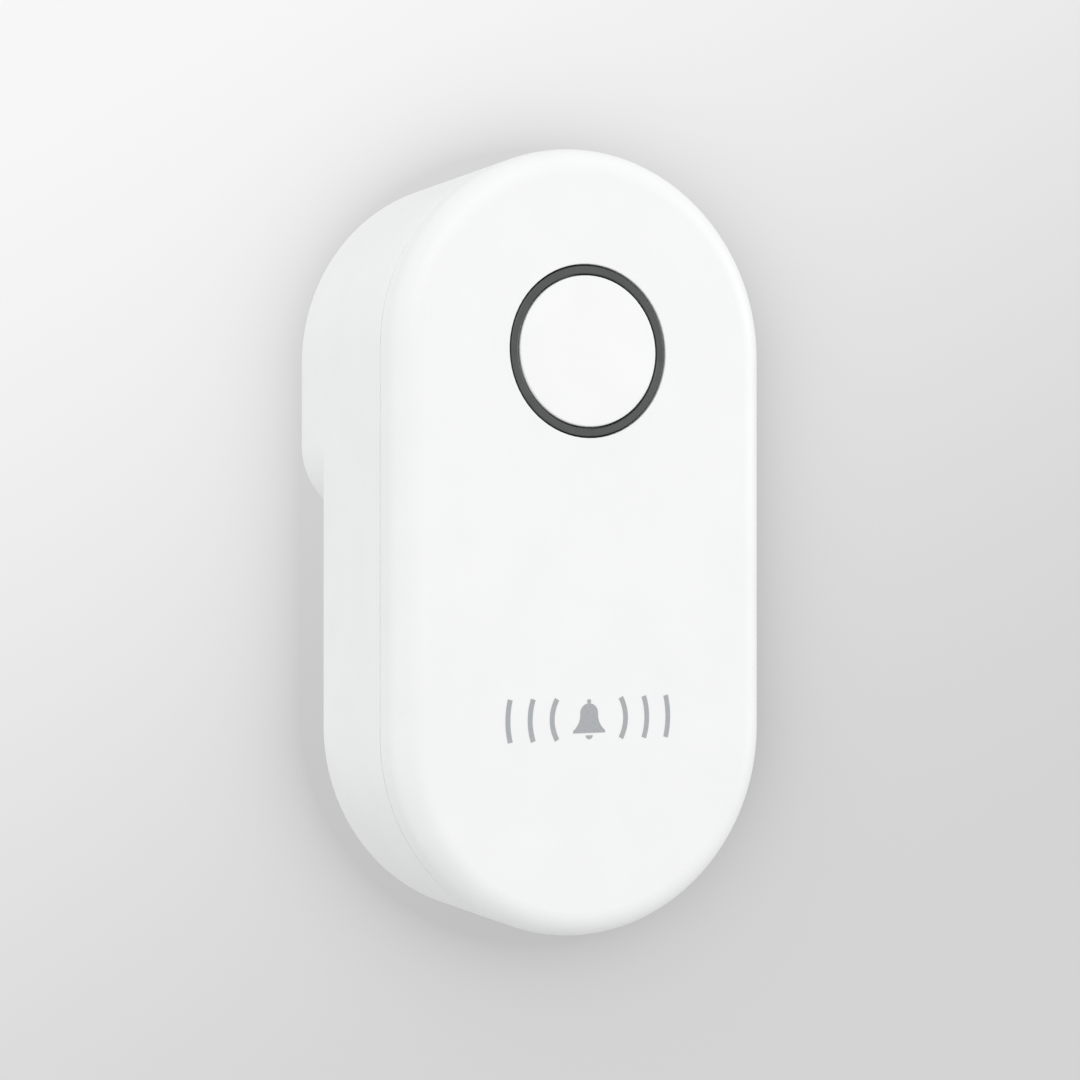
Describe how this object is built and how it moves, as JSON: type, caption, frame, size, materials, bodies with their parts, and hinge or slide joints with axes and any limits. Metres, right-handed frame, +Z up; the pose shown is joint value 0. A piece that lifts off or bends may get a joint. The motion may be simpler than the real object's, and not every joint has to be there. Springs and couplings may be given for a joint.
{
  "type": "plug-in doorbell chime",
  "caption": "Wall-plug doorbell chime: tall round-ended white case, front push button in a recessed ring light, side keys, rear loudspeaker and flat mains blades.",
  "frame": {"origin": "middle of the two plug blades, on the plane of the back that meets the wall", "axes": "+Y into the wall, so the front faces -Y; +Z up; +X to the right seen from the front"},
  "size_m": [0.0566, 0.0555, 0.1082],
  "materials": {
    "shell_white": "fine satin moulding texture",
    "button_white": "fine satin moulding texture",
    "key_white": "satin",
    "ring_smoke": "smoked translucent light guide, satin",
    "reflector_white": "matt",
    "led_white": "white package with a yellow window",
    "screw_steel": "zinc plated",
    "spring_steel": "drawn wire",
    "switch_black": "matt",
    "plunger_grey": "satin",
    "circuit_board": "green solder mask",
    "chip_black": "moulded epoxy",
    "shield_tin": "tinned sheet",
    "antenna_film": "black polyimide film",
    "coax_black": "extruded jacket",
    "blade_nickel": "nickel-plated brass, fine draw lines",
    "insert_white": "matt",
    "ferrite_grey": "sintered, matt",
    "bobbin_black": "matt",
    "winding_tape": "yellow polyester tape",
    "sleeve_dark": "shrink sleeve",
    "resistor_grey": "coated ceramic",
    "disc_blue": "blue dipped coating",
    "lead_red": "extruded insulation",
    "sheet_fibre": "pressed fibre",
    "label_film": "blank matt film",
    "mesh_black": "fine woven dust cloth",
    "gasket_foam": "closed-cell foam",
    "basket_black": "black coating",
    "yoke_steel": "zinc plated",
    "magnet_dark": "ferrite",
    "coil_copper": "enamelled copper wire on its former",
    "cone_paper": "pressed pulp",
    "surround_rubber": "matt",
    "tag_fibre": "pressed fibre",
    "connector_white": "matt nylon"
  },
  "bodies": {
    "housing": {"front_cover": "shell_white", "rear_case": "shell_white", "rating_label": "label_film", "case_screws": "screw_steel", "light_ring": "ring_smoke", "light_reflector": "reflector_white", "ring_leds": "led_white", "button_spring": "spring_steel", "button_switch": "switch_black", "key_switches": "switch_black", "main_board": "circuit_board", "board_screws": "screw_steel", "radio_board": "circuit_board", "radio_shield": "shield_tin", "processor_chip": "chip_black", "audio_chips": "chip_black", "antenna": "antenna_film", "antenna_coax": "coax_black", "plug_blades": "blade_nickel", "plug_insert": "insert_white", "insert_screws": "screw_steel", "power_board": "circuit_board", "power_board_screws": "screw_steel", "transformer_core": "ferrite_grey", "transformer_bobbin": "bobbin_black", "transformer_winding": "winding_tape", "bulk_capacitors": "sleeve_dark", "output_capacitor": "sleeve_dark", "power_inductor": "ferrite_grey", "fuse_resistor": "resistor_grey", "bridge_rectifier": "chip_black", "safety_capacitor": "disc_blue", "power_chips": "chip_black", "power_leads": "lead_red", "insulation_sheet": "sheet_fibre", "speaker_mesh": "mesh_black", "speaker_gasket": "gasket_foam", "speaker_frame": "basket_black", "speaker_yoke": "yoke_steel", "speaker_magnet": "magnet_dark", "speaker_plate": "yoke_steel", "speaker_surround": "surround_rubber", "speaker_terminal": "tag_fibre", "speaker_screws": "screw_steel", "speaker_connector": "connector_white", "speaker_leads": "coax_black"},
    "front_button": {"button_cap": "button_white", "button_plunger": "plunger_grey"},
    "volume_button": {"volume_key": "key_white", "volume_plunger": "plunger_grey"},
    "melody_button": {"melody_key": "key_white", "melody_plunger": "plunger_grey"},
    "cone": {"speaker_cone": "cone_paper", "voice_coil": "coil_copper"}
  },
  "joints": [
    {"name": "front_press", "type": "slide", "parent": "housing", "child": "front_button", "axis": [0, 1, 0], "range_m": [0, 0.0006], "stiffness_N_per_m": 3000, "springref_m": -0.0002, "deforming": ["button_spring"]},
    {"name": "volume_press", "type": "slide", "parent": "housing", "child": "volume_button", "axis": [-1, 0, 0], "range_m": [0, 0.00035], "stiffness_N_per_m": 4000, "springref_m": -0.0001},
    {"name": "melody_press", "type": "slide", "parent": "housing", "child": "melody_button", "axis": [-1, 0, 0], "range_m": [0, 0.00035], "stiffness_N_per_m": 4000, "springref_m": -0.0001},
    {"name": "cone_stroke", "type": "slide", "parent": "housing", "child": "cone", "axis": [0, 1, 0], "range_m": [-0.0005, 0.0005], "stiffness_N_per_m": 2500, "deforming": ["speaker_surround"]}
  ]
}
